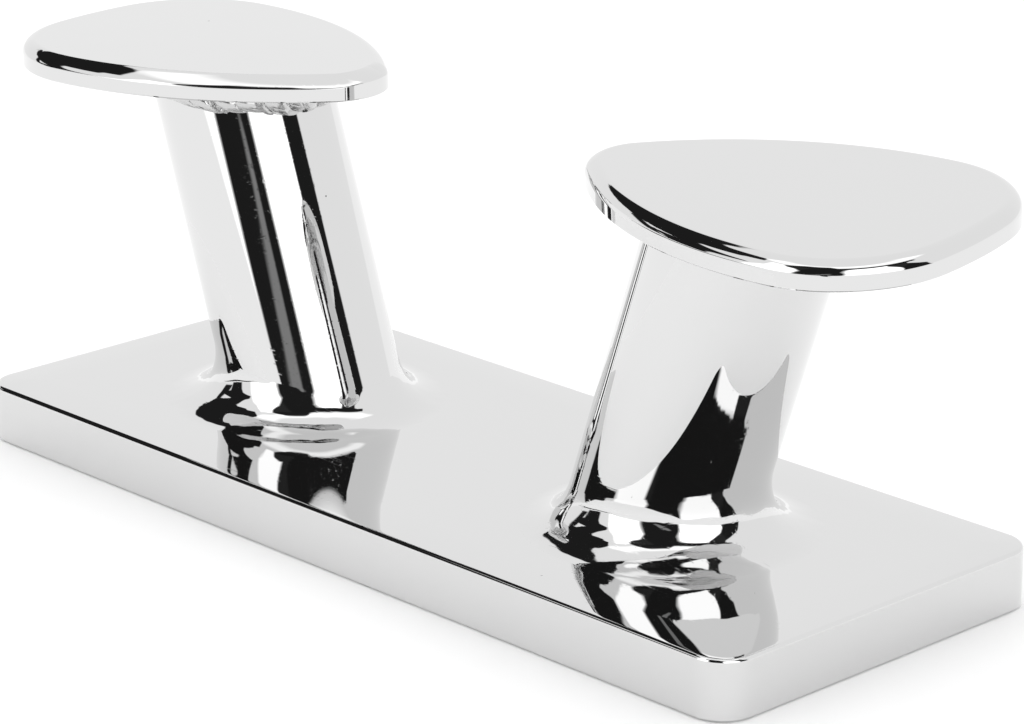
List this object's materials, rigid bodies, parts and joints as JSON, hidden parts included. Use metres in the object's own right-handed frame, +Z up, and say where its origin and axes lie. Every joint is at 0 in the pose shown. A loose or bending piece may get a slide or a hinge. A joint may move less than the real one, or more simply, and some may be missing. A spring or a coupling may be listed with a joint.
{
  "type": "boat cleat",
  "caption": "Double bollard mooring cleat of polished stainless steel: a flat plate with two round posts leaning apart, each under a rounded triangular cap.",
  "frame": {"origin": "centre of the plate's underside", "axes": "+X along the plate from the left post to the right post, +Z up out of the deck, -Z into the deck through the underside"},
  "size_m": [0.1678, 0.06, 0.0596],
  "materials": {
    "polished_steel": "mirror polished",
    "ground_weld": "ground smooth and polished",
    "laid_weld": "as laid, polished over"
  },
  "bodies": {
    "root": {"base_plate": "polished_steel", "left_post": "polished_steel", "right_post": "polished_steel", "left_cap": "polished_steel", "right_cap": "polished_steel", "left_foot_weld": "ground_weld", "right_foot_weld": "ground_weld", "left_cap_weld": "laid_weld", "right_cap_weld": "laid_weld"}
  },
  "joints": []
}
